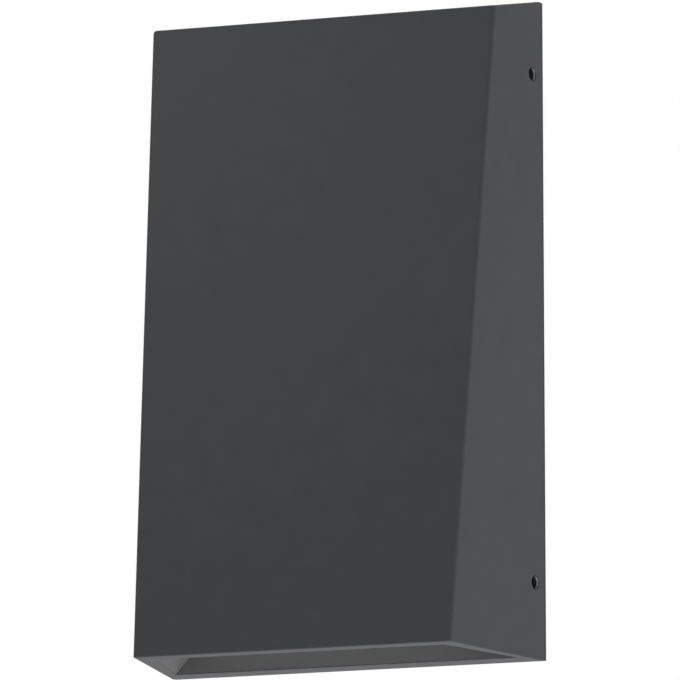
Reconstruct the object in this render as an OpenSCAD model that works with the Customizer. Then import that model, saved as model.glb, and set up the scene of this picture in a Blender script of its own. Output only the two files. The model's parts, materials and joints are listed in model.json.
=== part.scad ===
// Outdoor wall light that throws its light down from a wedge-shaped metal housing.
// Millimetres. The wall is the plane y = 0, the room lies towards -Y, and +Z is up.
// The origin is on the wall, halfway up the housing.

/* [Housing] */
// Width of the housing's rear edge
body_w = 120; // [114:1:136]
// Height of the housing's rear edge
body_h = 200; // [194:1:240]
// Depth from the wall to the top edge of the front face
depth_top = 29; // [28:0.5:34]
// Depth from the wall to the bottom edge of the front face
depth_bottom = 56; // [52:0.5:66]
// Angle at which the side faces draw in towards the front
side_draft = 10; // [4:0.5:11]
// Angle at which the top face falls towards the front
top_draft = 11.5; // [2:0.5:14]
// Wall thickness of the casting
wall_t = 3; // [2.2:0.1:3.4]
// Height of the solid rim round the light opening
rim_h = 10; // [8:0.5:12]
// Width of the rim's flat lip along the front face
lip_front = 7; // [6:0.5:9]
// Width of the rim's flat lip along the wall, measured from the wall
lip_rear = 12; // [11:0.5:14]
// Width of the rim's flat lips along the sides, at the light opening's rear edge
lip_side = 3.3; // [3.2:0.1:6]
// Angle at which the ends of the light opening draw in towards the front
mouth_draft = 13.7; // [8:0.1:14]
// Angle of the flares at both ends of the light opening, from the vertical
flare_angle = 42; // [35:1:48]
// Thickness of the floor behind the light opening
floor_t = 3; // [2:0.5:4]

/* [Wall gasket] */
// Thickness of the rubber frame
gasket_t = 2; // [1.5:0.1:3]
// Width of the rubber frame
gasket_w = 4.5; // [4:0.1:5]
// Setback of the rubber frame from the housing's edge
gasket_inset = 0.2; // [0.1:0.1:1]

/* [Set screws] */
// Distance of the set screws from the housing's upper and lower end
set_end = 23; // [22:0.5:26]
// Distance of the set screws from the wall
set_y = 7; // [6.5:0.1:9]
// Nominal radius of the set screws
set_r = 2; // [1.5:0.5:2.5]
// Length of the set screws
set_len = 6; // [5:0.5:7]
// Depth of the set screws' outer ends below the side face
set_recess = 3; // [2.5:0.1:3.5]
// Radius of the tapped bosses inside the housing
set_boss_r = 4.5; // [3.5:0.1:4.5]
// Width across the flats of the hexagon sockets
set_socket = 2; // [1.5:0.1:2.5]
// Depth of the hexagon sockets
set_socket_depth = 2.5; // [1.5:0.1:3]

/* [Base plate] */
// Sheet thickness of the base plate
base_t = 2; // [1.5:0.1:2]
// Gap between the base plate's edge and the inside of the rubber frame
base_edge_gap = 1; // [0.5:0.1:2]
// Height of a folded tab
tab_h = 12; // [10:0.5:13]
// Depth of a folded tab, measured from the wall
tab_depth = 13; // [12:0.5:16]
// Depth of the stiffening flanges, measured from the wall
flange_depth = 8; // [5:0.5:8.5]
// Distance between the wall-screw slots across the width
slot_spacing_x = 76; // [74:1:78]
// Distance between the wall-screw slots along the height
slot_spacing_z = 110; // [104:1:114]
// Height of the lower slots above the heat sink
slot_gap = 6; // [4:0.5:8]
// Width of the slots
slot_w = 5; // [4:0.1:5.5]
// Length of the slots from end to end
slot_len = 10; // [8:0.5:11]

/* [Cable entry] */
// Height of the dish above the driver's upper ear
cable_gap = 4; // [2:0.5:7]
// Radius of the hole in the base plate
cable_hole_r = 8; // [7:0.1:8.5]
// Radius of the dish pressed into the plate round the hole
dish_r = 12; // [11.5:0.1:13]
// Depth of the dish
dish_depth = 3; // [2.5:0.1:4]
// Radius of the grommet's bore
grommet_bore_r = 4; // [3:0.1:5]
// Radius of the grommet's flanges
grommet_flange_r = 10.5; // [9.5:0.1:11]
// Thickness of the grommet's flanges
grommet_flange_t = 1.5; // [1:0.1:2]
// Length of the grommet's nose
grommet_nose = 5.5; // [4:0.5:8]
// Wall of the nose at its tip
grommet_lip = 1; // [0.8:0.1:1.5]

/* [Light module] */
// Height of the diffuser frame's foot above the rim
module_gap = 0.5; // [0.4:0.1:1]
// Thickness of the diffuser frame's ledge
ledge_t = 1.5; // [1.2:0.1:2]
// Width of the ledge that the diffuser lies on
ledge_w = 2; // [1.5:0.1:2.5]
// Wall of the diffuser frame
frame_wall = 2; // [1.5:0.1:2.5]
// Width of the diffuser frame's solid ends
frame_end = 5.2; // [5:0.1:6]
// Thickness of the diffuser
diffuser_t = 2.5; // [2:0.1:3]
// Thickness of the diffuser gasket
seal_t = 1.5; // [1:0.1:2]
// Height of the reflector
reflector_h = 20.4; // [18:0.2:24]
// Wall thickness of the reflector
reflector_t = 2; // [1.5:0.1:2.5]
// Half width of the reflector's window for the LEDs
window_x = 33; // [30:0.5:34]
// Depth of the reflector's window for the LEDs
window_y = 22; // [18:0.5:24]
// Half width of the LED board and the heat sink
board_x = 42; // [41.5:0.5:43]
// Depth of the LED board
board_y = 32; // [30:0.5:33]
// Distance of the LED board from the wall
board_rear = 10; // [9:0.5:11]
// Thickness of the LED board
board_t = 1.6; // [1:0.1:2]
// LEDs in a row
led_columns = 6; // [2:1:6]
// Distance between LEDs along a row
led_pitch_x = 10; // [6:0.5:11]
// Distance between the two rows of LEDs
led_pitch_y = 10; // [6:0.5:12]
// Width of an LED
led_w = 3.5; // [2:0.1:5]
// Depth of an LED
led_d = 2.8; // [2:0.1:5]
// Height of an LED
led_h = 0.8; // [0.4:0.1:1.2]

/* [Heat sink] */
// Thickness of the heat sink's two legs
sink_t = 3; // [2.5:0.1:4]
// Height of the upright leg
sink_h = 16; // [14.5:0.5:17]
// Depth of the level leg, measured from the wall
sink_depth = 44; // [43:0.5:45]
// Height of the fins
fin_h = 6; // [3:0.5:7]
// Thickness of a fin
fin_t = 1.6; // [1:0.1:2]
// Distance between fins
fin_pitch = 7; // [5:0.5:7]
// Number of fins
fin_count = 8; // [4:1:8]
// Position of the first fin
fin_x0 = -20; // [-21:0.5:-16]

/* [Driver] */
// Height of the driver's lower ear above the heat sink
driver_gap = 6; // [5:0.5:7]
// Width of the driver
driver_w = 64; // [60:1:65]
// Height of the driver
driver_h = 38; // [36:0.5:39]
// Depth of the driver's case
driver_d = 18; // [17:0.5:20]
// Wall thickness of the driver's case
driver_t = 1.5; // [1.2:0.1:2]
// Length of a fixing ear
ear_len = 6; // [6:0.1:7]
// Thickness of a fixing ear
ear_t = 2.5; // [2:0.1:3]
// Height of the driver board above the case's floor
standoff = 1.5; // [1:0.1:2]

/* [Terminal block] */
// Height of the terminal block above the dish of the cable entry
terminal_gap = 7; // [5:0.5:8]
// Distance between poles
pole_pitch = 10; // [9:0.5:12]
// Depth of the terminal block
terminal_d = 16; // [15:0.5:18]
// Height of the terminal block
terminal_h = 18; // [17:0.5:19]
// Radius of the wire holes
wire_hole_r = 1.8; // [1.5:0.1:2]
// Radius of the clamping screws
clamp_r = 2; // [1.6:0.1:2.2]

/* [Earth point] */
// Distance of the earth screw from the base plate's edge
earth_inset = 18; // [16:0.5:20]
// Height of the terminal block's lower side above the earth screw
earth_drop = 5; // [3:0.5:7]

/* [Wires] */
// Radius of the insulated wires
wire_r = 1; // [0.8:0.05:1.1]
// Radius of the leads to the LED board
lead_r = 0.7; // [0.5:0.05:0.8]
// Length over which a wire leaves its terminal or driver before it turns away
wire_pull = 14; // [10:0.5:18]
// Distance by which the mains wires bow towards the room
wire_bow = 1.5; // [1:0.1:3]
// Length over which a lead leaves the driver or enters the heat sink before it turns away
lead_pull = 9; // [6:0.5:10]
// Distance by which the earth wire bows towards the room
earth_bow = 9; // [8:0.5:11]

/* [Screws] */
// Nominal radius of the M3 screws
m3_r = 1.5; // [1.2:0.1:1.6]
// Radius of the M3 screw heads
m3_head_r = 2.75; // [2.5:0.05:3]
// Height of the M3 screw heads
m3_head_h = 2; // [1.5:0.1:2.2]
// Nominal radius of the M4 earth screw
m4_r = 2; // [1.7:0.1:2.1]
// Radius of the small screws of the diffuser frame
small_r = 1.25; // [1:0.05:1.3]
// Radius of the small screws' heads
small_head_r = 2.2; // [2:0.05:2.3]
// Height of the small screws' heads
small_head_h = 1.5; // [1:0.1:1.6]

/* [Fits] */
// Clearance between pieces that lie side by side
fit_gap = 0.3; // [0.2:0.05:0.4]
// Radial clearance of a screw in its thread
thread_gap = 0.05; // [0.03:0.01:0.08]
// Radial clearance of a screw in a plain hole
hole_gap = 0.2; // [0.15:0.05:0.3]
// Gap between a set screw's tip and its tab
tip_gap = 0.1; // [0.05:0.01:0.15]
// Gap between a tapped boss and its tab
boss_gap = 0.5; // [0.4:0.1:0.8]
// Distance that screws end short of the wall
wall_gap = 0.4; // [0.3:0.1:0.6]

/* [Hidden] */
$fn = 48;

// Cuts reach this far past a face
cut = 1;
// Crossed recess of a screw head: depth as a part of its height, then span and width as parts of its radius
cross_depth = 0.6;
cross_span = 1.2;
cross_width = 0.25;
// Gap where a soldered wire's end meets its board
touch = 0.05;

// The housing's planes, which start from its rear edge at y = -gasket_t
z_bottom = -body_h / 2;
z_top = body_h / 2;
front_slope = (depth_bottom - depth_top) / (body_h - tan(top_draft) * (depth_top - gasket_t));
front_lean = atan(front_slope);

// Half width of the housing at y, drawn in by t from the side face
function side_x(y, t = 0) = body_w / 2 + tan(side_draft) * (y + gasket_t) - t / cos(side_draft);
// Front face at height z, drawn in by t
function front_y(z, t = 0) = -depth_bottom + (z - z_bottom) * front_slope + t / cos(front_lean);
// Top face at y, drawn in by t
function top_z(y, t = 0) = z_top + tan(top_draft) * (y + gasket_t) - t / cos(top_draft);
// Where the top face meets the front face, both drawn in by t
function edge_y(t) = front_y(top_z(0, t), t) / (1 - tan(top_draft) * front_slope);

// The light opening
opening_rear = -lip_rear;
opening_front = -(depth_bottom - lip_front);
rim_top = z_bottom + rim_h;
rim_wall_rear = opening_rear + wall_t;

// Set screws, bosses and tabs, from the side face inwards
set_z = body_h / 2 - set_end;
set_outer_x = side_x(-set_y) - set_recess;
set_tip_x = set_outer_x - set_len;
tab_x = set_tip_x - tip_gap;
boss_x = tab_x + boss_gap;
set_chamfer = 0.6;

// Base plate
base_x = body_w / 2 - gasket_inset - gasket_w - base_edge_gap;
base_z = body_h / 2 - gasket_inset - gasket_w - 2 * base_edge_gap;
corner_r = 4;

// Light module, from the rim upwards
frame_z = rim_top + module_gap;
diffuser_z = frame_z + ledge_t;
seal_z = diffuser_z + diffuser_t;
reflector_z = seal_z + seal_t;
board_z = reflector_z + reflector_h;
sink_z = board_z + board_t;
sink_top = sink_z + sink_t;
module_x = tab_x - base_t - cut;
module_rear = opening_rear + 2 * frame_wall;
module_front = opening_front - fit_gap;
pocket_x = module_x - frame_end;
pocket_rear = module_rear - frame_wall;
pocket_front = module_front + frame_wall;
sight_x = pocket_x - ledge_w;
sight_rear = pocket_rear - ledge_w;
sight_front = pocket_front + ledge_w;
board_front = -(board_rear + board_y);
board_mid = (-board_rear + board_front) / 2;
module_screw_inset = 3.5;
module_screw_x = board_x - module_screw_inset;
module_screw_dy = board_y / 2 - module_screw_inset;
module_boss_r = 3;
module_boss_h = 8;
module_screw_len = sink_t + board_t + module_boss_h - cut;
frame_screw_x = module_x - frame_end / 2;
frame_screw_ys = [module_rear - frame_end / 2 - cut, module_front + frame_end / 2 + cut];
frame_boss_r = frame_end / 2;
frame_boss_h = 8;
head_sink = small_head_h + 2 * hole_gap;
frame_screw_len = (reflector_z - frame_z - head_sink) + frame_boss_h - cut;

// Heat sink, with its slot for the LED leads
sink_up_z = sink_z + sink_h;
lead_slot = [8, 5];
lead_slot_mid = [-29, -14.5];
lead_dx = 2;
sink_screw_x = 30;
sink_screw_up = 10;
sink_screw_z = sink_z + sink_screw_up;
fin_rear = -8;

// Driver
driver_z = sink_up_z + driver_gap + ear_len;
driver_top = driver_z + driver_h;
driver_mid = driver_z + driver_h / 2;
driver_front = -(base_t + driver_d);
ear_w = 12;
driver_board_y = -(base_t + driver_t + standoff);
driver_board_t = 1.6;
driver_face = driver_board_y - driver_board_t;
driver_in_x = 18;
driver_out_x = [-24, -20];
driver_wire_y = -11;
post_r = 2.5;
post_inset = 4.5;
lid_lip = 2;
transformer = [18, 11, 16];
capacitor_r = 5;
capacitor_h = 11;
capacitor_x = 16;

// Cable entry
cable_z = driver_top + ear_len + cable_gap + dish_r + base_t;
dish_front = -(base_t + dish_depth);

// Terminal block
terminal_z = cable_z + dish_r + base_t + terminal_gap;
terminal_w = 3 * pole_pitch + 2;
terminal_mid = terminal_z + terminal_h / 2;
terminal_front = -(base_t + terminal_d);
terminal_wire_y = -10;
terminal_head_sink = 3;
clamp_dz = 5;
clamp_len = 5;
clamp_depth = 6;

// Earth point, from the boss outwards: ring, washer, screw head
earth_x = base_x - earth_inset;
earth_z = terminal_z - earth_drop;
earth_boss_r = 4.5;
earth_boss_h = 3;
earth_boss_y = -(base_t + earth_boss_h);
ring_t = 0.8;
ring_r = 4;
washer_t = 0.8;
washer_r = 4.2;
washer_y = earth_boss_y - ring_t;
earth_seat = washer_y - washer_t;
earth_head_r = 4;
earth_head_h = 2.6;
barrel_r = 2;
barrel_len = 6.5;
barrel_end_x = earth_x - washer_r - fit_gap;
barrel_x = barrel_end_x - barrel_len;
barrel_lift = 1.4;
barrel_y = washer_y - barrel_lift;

// Places in the base plate, at its front face
slot_z = sink_up_z + slot_gap + slot_spacing_z / 2;
slot_places = [
    for (sx = [-1, 1], sz = [-1, 1])
        [sx * slot_spacing_x / 2, 0, slot_z + sz * slot_spacing_z / 2]
];
sink_screw_places = [for (sx = [-1, 1]) [sx * sink_screw_x, 0, sink_screw_z]];
driver_screw_places = [
    [0, 0, driver_z - ear_len / 2],
    [0, 0, driver_top + ear_len / 2]
];
terminal_screw_places = [for (sx = [-1, 1]) [sx * pole_pitch / 2, 0, terminal_mid]];
clamp_places = [
    for (pole = [-1, 0, 1], sz = [-1, 1]) [pole * pole_pitch, 0, terminal_mid + sz * clamp_dz]
];

// Wires: each runs straight out of one seat, in a smooth bend, and straight into the other
wire_in = 5;
wire_out = 4;
wire_turn = 4;
wire_stub = 1;
function bend(a, b, c, d, steps = 8) = [
    for (i = [0 : steps])
        let (t = i / steps, u = 1 - t)
            u * u * u * a + 3 * u * u * t * b + 3 * u * t * t * c + t * t * t * d
];
function mains_points(side) =
    let (
        top = [side * pole_pitch, terminal_wire_y, terminal_z],
        low = [side * driver_in_x, driver_wire_y, driver_top],
        inner = low - [0, 0, wire_out],
        joint = [side * driver_in_x, driver_face - touch, inner[2] - wire_turn],
        near = joint - [0, wire_stub, 0]
    )
    concat(
        [top + [0, 0, wire_in]],
        bend(top, top + [0, -wire_bow, -wire_pull], low + [0, -wire_bow, wire_pull], low),
        bend(inner, inner - [0, 0, wire_turn / 2], near - [0, wire_turn / 2, 0], near, 4),
        [joint]
    );
earth_from = [0, terminal_wire_y, terminal_z];
earth_to = [barrel_x, barrel_y, earth_z];
earth_points = concat(
    [earth_from + [0, 0, wire_in]],
    bend(
        earth_from,
        earth_from + [0, -earth_bow, -wire_pull],
        earth_to - [wire_pull, earth_bow, 0],
        earth_to
    ),
    [earth_to + [barrel_r, 0, 0]]
);
function lead_points(x_out, x_slot) =
    let (
        top = [x_out, driver_wire_y, driver_z],
        low = [x_slot, lead_slot_mid[1], sink_top + cut]
    )
    concat(
        [top + [0, 0, wire_out]],
        bend(top, top - [0, 0, lead_pull], low + [0, 0, lead_pull], low),
        [[low[0], low[1], sink_z + touch]]
    );

// Colours
graphite = [0.20, 0.205, 0.215];
rubber = [0.09, 0.09, 0.09];
zinc = [0.72, 0.73, 0.74];
steel = [0.55, 0.56, 0.58];
aluminium = [0.78, 0.79, 0.80];
white = [0.93, 0.93, 0.92];

// Cylinder along Y between y0 and y1
module rod_y(r, y0, y1) {
    translate([0, y0, 0])
        rotate([-90, 0, 0])
            cylinder(r = r, h = y1 - y0);
}

// Cylinder along X between x0 and x1
module rod_x(r, x0, x1) {
    translate([x0, 0, 0])
        rotate([0, 90, 0])
            cylinder(r = r, h = x1 - x0);
}

// Box between two corners
module block(low, high) {
    translate(low)
        cube(high - low);
}

// The housing's outer form drawn in by t, open to y_rear and down to z_low
module wedge(t, y_rear, z_low) {
    y_far = -depth_bottom - cut;
    intersection() {
        rotate([90, 0, 90])
            linear_extrude(height = 2 * body_w, center = true)
                polygon([
                    [y_rear, z_low], [y_rear, top_z(y_rear, t)],
                    [edge_y(t), top_z(edge_y(t), t)], [front_y(z_low, t), z_low]
                ]);
        translate([0, 0, z_low - cut])
            linear_extrude(height = body_h + 2 * cut)
                polygon([
                    [side_x(y_rear, t), y_rear], [-side_x(y_rear, t), y_rear],
                    [-side_x(y_far, t), y_far], [side_x(y_far, t), y_far]
                ]);
    }
}

// Everything on the inner side of the right-hand flare
module flare_side() {
    drop = cut * tan(flare_angle);
    rise = (rim_h + cut) * tan(flare_angle);
    translate([side_x(opening_rear, lip_side), opening_rear, z_bottom])
        rotate([0, 0, -mouth_draft])
            rotate([90, 0, 0])
                linear_extrude(height = 4 * body_w, center = true)
                    polygon([
                        [-2 * body_w, -cut], [drop, -cut],
                        [-rise, rim_h + cut], [-2 * body_w, rim_h + cut]
                    ]);
}

// The light opening, cut through the rim
module light_opening() {
    intersection() {
        block(
            [-body_w, opening_front, z_bottom - cut],
            [body_w, opening_rear, rim_top + cut]
        );
        flare_side();
        mirror([1, 0, 0])
            flare_side();
    }
}

// Places its children at the four set screws, on the right as they are
module at_set_screws() {
    for (z = [-set_z, set_z]) {
        translate([0, -set_y, z])
            children();
        translate([0, -set_y, z])
            mirror([1, 0, 0])
                children();
    }
}

module housing() {
    color(graphite)
        difference() {
            union() {
                difference() {
                    wedge(0, -gasket_t, z_bottom);
                    wedge(wall_t, cut, rim_top);
                    light_opening();
                    intersection() {
                        wedge(wall_t, cut, z_bottom + floor_t);
                        block(
                            [-body_w, rim_wall_rear, z_bottom + floor_t],
                            [body_w, cut, rim_top + cut]
                        );
                    }
                }
                at_set_screws()
                    rod_x(set_boss_r, boss_x, side_x(-set_y, wall_t / 2));
            }
            at_set_screws()
                rod_x(set_r + thread_gap, tab_x, body_w / 2 + cut);
        }
}

module wall_gasket() {
    outer_x = body_w / 2 - gasket_inset;
    outer_z = body_h / 2 - gasket_inset;
    color(rubber)
        difference() {
            block([-outer_x, -gasket_t, -outer_z], [outer_x, 0, outer_z]);
            block(
                [-outer_x + gasket_w, -gasket_t - cut, -outer_z + gasket_w],
                [outer_x - gasket_w, cut, outer_z - gasket_w]
            );
        }
}

// A set screw with its outer end towards +X
module set_screw() {
    color(steel)
        difference() {
            union() {
                rod_x(set_r, set_tip_x + set_chamfer, set_outer_x);
                translate([set_tip_x, 0, 0])
                    rotate([0, 90, 0])
                        cylinder(r1 = set_r - set_chamfer, r2 = set_r, h = set_chamfer);
            }
            translate([set_outer_x - set_socket_depth, 0, 0])
                rotate([0, 90, 0])
                    cylinder(d = set_socket / cos(30), h = set_socket_depth + cut, $fn = 6);
        }
}

module set_screw_right_upper() {
    translate([0, -set_y, set_z])
        set_screw();
}

module set_screw_right_lower() {
    translate([0, -set_y, -set_z])
        set_screw();
}

module set_screw_left_upper() {
    translate([0, -set_y, set_z])
        mirror([1, 0, 0])
            set_screw();
}

module set_screw_left_lower() {
    translate([0, -set_y, -set_z])
        mirror([1, 0, 0])
            set_screw();
}

// A round-ended slot through the base plate, along X
module wall_slot() {
    run = slot_len / 2 - slot_w / 2;
    block([-run, -base_t - cut, -slot_w / 2], [run, cut, slot_w / 2]);
    for (side = [-1, 1])
        translate([side * run, 0, 0])
            rod_y(slot_w / 2, -base_t - cut, cut);
}

// The base plate's flat sheet, with round corners
module plate_sheet() {
    block([-base_x + corner_r, -base_t, -base_z], [base_x - corner_r, 0, base_z]);
    block([-base_x, -base_t, -base_z + corner_r], [base_x, 0, base_z - corner_r]);
    for (sx = [-1, 1], sz = [-1, 1])
        translate([sx * (base_x - corner_r), 0, sz * (base_z - corner_r)])
            rod_y(corner_r, -base_t, 0);
}

module base_plate() {
    color(zinc)
        difference() {
            union() {
                difference() {
                    plate_sheet();
                    at_set_screws()
                        block([tab_x, -cut, -tab_h / 2 - cut], [body_w, set_y + cut, tab_h / 2 + cut]);
                }
                at_set_screws()
                    block([tab_x - base_t, set_y - tab_depth, -tab_h / 2], [tab_x, set_y, tab_h / 2]);
                for (sz = [-1, 1])
                    translate([0, 0, sz * (base_z - base_t / 2)])
                        block(
                            [-tab_x + base_t, -flange_depth, -base_t / 2],
                            [tab_x - base_t, 0, base_t / 2]
                        );
                translate([0, 0, cable_z])
                    rod_y(dish_r + base_t, dish_front, -base_t);
                translate([earth_x, 0, earth_z])
                    rod_y(earth_boss_r, earth_boss_y, -base_t);
            }
            translate([0, 0, cable_z]) {
                rod_y(dish_r, -dish_depth, cut);
                rod_y(cable_hole_r, dish_front - cut, cut);
            }
            for (p = slot_places)
                translate(p)
                    wall_slot();
            for (p = concat(sink_screw_places, driver_screw_places, terminal_screw_places))
                translate(p)
                    rod_y(m3_r + thread_gap, -base_t - cut, cut);
            translate([earth_x, 0, earth_z])
                rod_y(m4_r + thread_gap, earth_boss_y - cut, cut);
        }
}

module cable_grommet() {
    rear = -dish_depth + grommet_flange_t;
    front = dish_front - grommet_flange_t;
    tip = front - grommet_nose;
    tip_r = grommet_bore_r + grommet_lip;
    color(rubber)
        translate([0, 0, cable_z])
            rotate([90, 0, 0])
                rotate_extrude()
                    polygon([
                        [grommet_bore_r, -rear], [grommet_flange_r, -rear],
                        [grommet_flange_r, dish_depth], [cable_hole_r, dish_depth],
                        [cable_hole_r, -dish_front], [grommet_flange_r, -dish_front],
                        [grommet_flange_r, -front], [cable_hole_r, -front],
                        [tip_r, -tip], [grommet_bore_r, -tip]
                    ]);
}

// A screw with its head's seat at the origin, the head towards +Z and a crossed recess
module screw(r, len, head_r, head_h) {
    recess = head_h * cross_depth;
    arm = head_r * cross_span;
    blade = head_r * cross_width;
    difference() {
        union() {
            translate([0, 0, -len])
                cylinder(r = r, h = len);
            cylinder(r = head_r, h = head_h);
        }
        for (turn = [0, 90])
            rotate([0, 0, turn])
                block([-arm / 2, -blade / 2, head_h - recess], [arm / 2, blade / 2, head_h + cut]);
    }
}

// Turns a screw so that its head faces the room
module facing_room() {
    rotate([90, 0, 0])
        children();
}

module heat_sink() {
    color(aluminium)
        difference() {
            union() {
                block([-board_x, -base_t - sink_t, sink_z], [board_x, -base_t, sink_z + sink_h]);
                block([-board_x, -sink_depth, sink_z], [board_x, -base_t, sink_top]);
                for (i = [0 : fin_count - 1])
                    translate([fin_x0 + i * fin_pitch, 0, 0])
                        block([-fin_t / 2, -sink_depth, sink_z], [fin_t / 2, fin_rear, sink_top + fin_h]);
            }
            at_module_screws()
                translate([0, 0, sink_z - cut])
                    cylinder(r = m3_r + hole_gap, h = sink_t + 2 * cut);
            for (p = sink_screw_places)
                translate(p)
                    rod_y(m3_r + hole_gap, -base_t - sink_t - cut, -base_t + cut);
            translate([lead_slot_mid[0], lead_slot_mid[1], sink_z])
                block(
                    [-lead_slot[0] / 2, -lead_slot[1] / 2, -cut],
                    [lead_slot[0] / 2, lead_slot[1] / 2, sink_t + cut]
                );
        }
}

module heat_sink_screws() {
    color(steel)
        for (p = sink_screw_places)
            translate(p + [0, -base_t - sink_t, 0])
                facing_room()
                    screw(m3_r, sink_t + base_t - wall_gap, m3_head_r, m3_head_h);
}

// Places its children at the four screws through heat sink, board and reflector
module at_module_screws() {
    for (sx = [-1, 1], sy = [-1, 1])
        translate([sx * module_screw_x, board_mid + sy * module_screw_dy, 0])
            children();
}

// Places its children at the four screws of the diffuser frame
module at_frame_screws() {
    for (sx = [-1, 1], y = frame_screw_ys)
        translate([sx * frame_screw_x, y, 0])
            children();
}

module led_board() {
    color(white)
        difference() {
            block([-board_x, board_front, board_z], [board_x, -board_rear, sink_z]);
            at_module_screws()
                translate([0, 0, board_z - cut])
                    cylinder(r = m3_r + hole_gap, h = board_t + 2 * cut);
        }
}

module led_chips() {
    color([0.95, 0.85, 0.35])
        for (i = [0 : led_columns - 1], sy = [-1, 1])
            translate([
                (i - (led_columns - 1) / 2) * led_pitch_x,
                board_mid + sy * led_pitch_y / 2,
                board_z - led_h / 2
            ])
                cube([led_w, led_d, led_h], center = true);
}

// The flared well of the reflector, grown outwards by t
module reflector_well(t) {
    thin = touch / 5;
    hull() {
        block(
            [-sight_x - t, sight_front - t, reflector_z],
            [sight_x + t, sight_rear + t, reflector_z + thin]
        );
        block(
            [-window_x - t, board_mid - window_y / 2 - t, board_z - thin],
            [window_x + t, board_mid + window_y / 2 + t, board_z]
        );
    }
}

module reflector() {
    top_flange_z = board_z - reflector_t;
    color(white)
        difference() {
            union() {
                reflector_well(reflector_t);
                block(
                    [-module_x, module_front, reflector_z],
                    [module_x, module_rear, reflector_z + reflector_t]
                );
                block([-board_x, board_front, top_flange_z], [board_x, -board_rear, board_z]);
                at_module_screws()
                    translate([0, 0, board_z - module_boss_h])
                        cylinder(r = module_boss_r, h = module_boss_h);
                at_frame_screws()
                    translate([0, 0, reflector_z])
                        cylinder(r = frame_boss_r, h = frame_boss_h);
            }
            reflector_well(0);
            block(
                [-window_x, board_mid - window_y / 2, board_z - cut],
                [window_x, board_mid + window_y / 2, board_z + cut]
            );
            block(
                [-sight_x, sight_front, reflector_z - cut],
                [sight_x, sight_rear, reflector_z + touch]
            );
            at_module_screws()
                translate([0, 0, board_z - module_boss_h + cut])
                    cylinder(r = m3_r + thread_gap, h = module_boss_h);
            at_frame_screws()
                translate([0, 0, reflector_z - cut])
                    cylinder(r = small_r + thread_gap, h = frame_boss_h);
        }
}

module module_screws() {
    color(steel)
        at_module_screws()
            translate([0, 0, sink_top])
                screw(m3_r, module_screw_len - wall_gap, m3_head_r, m3_head_h);
}

module diffuser_gasket() {
    color([0.80, 0.80, 0.78])
        difference() {
            block(
                [-pocket_x + fit_gap, pocket_front + fit_gap, seal_z],
                [pocket_x - fit_gap, pocket_rear - fit_gap, reflector_z]
            );
            block(
                [-sight_x, sight_front, seal_z - cut],
                [sight_x, sight_rear, reflector_z + cut]
            );
        }
}

module diffuser() {
    color([0.92, 0.94, 0.95])
        block(
            [-pocket_x + fit_gap, pocket_front + fit_gap, diffuser_z],
            [pocket_x - fit_gap, pocket_rear - fit_gap, seal_z]
        );
}

module diffuser_frame() {
    color(white)
        difference() {
            block(
                [-module_x, module_front, frame_z],
                [module_x, module_rear, reflector_z]
            );
            block(
                [-pocket_x, pocket_front, diffuser_z],
                [pocket_x, pocket_rear, reflector_z + cut]
            );
            block(
                [-sight_x, sight_front, frame_z - cut],
                [sight_x, sight_rear, reflector_z]
            );
            at_frame_screws() {
                translate([0, 0, frame_z - cut])
                    cylinder(r = small_r + hole_gap, h = reflector_z - frame_z + 2 * cut);
                translate([0, 0, frame_z - cut])
                    cylinder(r = small_head_r + hole_gap, h = head_sink + cut);
            }
        }
}

module diffuser_frame_screws() {
    color(steel)
        at_frame_screws()
            translate([0, 0, frame_z + head_sink])
                rotate([180, 0, 0])
                    screw(small_r, frame_screw_len - wall_gap, small_head_r, small_head_h);
}

module driver_case() {
    half = driver_w / 2;
    color([0.90, 0.90, 0.88])
        difference() {
            union() {
                block([-half, driver_front, driver_z], [half, -base_t, driver_top]);
                block(
                    [-ear_w / 2, -base_t - ear_t, driver_z - ear_len],
                    [ear_w / 2, -base_t, driver_top + ear_len]
                );
            }
            difference() {
                block(
                    [-half + driver_t, driver_front - cut, driver_z + driver_t],
                    [half - driver_t, -base_t - driver_t, driver_top - driver_t]
                );
                at_driver_posts()
                    rod_y(post_r, driver_board_y, -base_t);
            }
            for (p = driver_screw_places)
                translate(p)
                    rod_y(m3_r + hole_gap, -base_t - ear_t - cut, cut);
            for (sx = [-1, 1])
                translate([sx * driver_in_x, driver_wire_y, driver_top - driver_t - cut])
                    cylinder(r = wire_r + hole_gap, h = driver_t + 2 * cut);
            for (x = driver_out_x)
                translate([x, driver_wire_y, driver_z - cut])
                    cylinder(r = lead_r + hole_gap, h = driver_t + 2 * cut);
        }
}

// Places its children at the four posts of the driver board
module at_driver_posts() {
    for (sx = [-1, 1], sz = [-1, 1])
        translate([
            sx * (driver_w / 2 - post_inset),
            0,
            driver_mid + sz * (driver_h / 2 - post_inset)
        ])
            children();
}

module driver_cover() {
    half = driver_w / 2;
    lip = driver_t + fit_gap;
    color([0.90, 0.90, 0.88])
        difference() {
            union() {
                block([-half, driver_front - driver_t, driver_z], [half, driver_front, driver_top]);
                block(
                    [-half + lip, driver_front, driver_z + lip],
                    [half - lip, driver_front + lid_lip, driver_top - lip]
                );
            }
            block(
                [-half + lip + driver_t, driver_front - driver_t / 2, driver_z + lip + driver_t],
                [half - lip - driver_t, driver_front + lid_lip + cut, driver_top - lip - driver_t]
            );
        }
}

module driver_board() {
    half = driver_w / 2 - driver_t - fit_gap;
    edge = driver_t + fit_gap;
    color([0.10, 0.38, 0.18])
        block(
            [-half, driver_board_y - driver_board_t, driver_z + edge],
            [half, driver_board_y, driver_top - edge]
        );
}

module driver_transformer() {
    color([0.85, 0.70, 0.15])
        translate([0, driver_face, driver_mid])
            block(
                [-transformer[0] / 2, -transformer[1], -transformer[2] / 2],
                [transformer[0] / 2, 0, transformer[2] / 2]
            );
}

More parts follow.
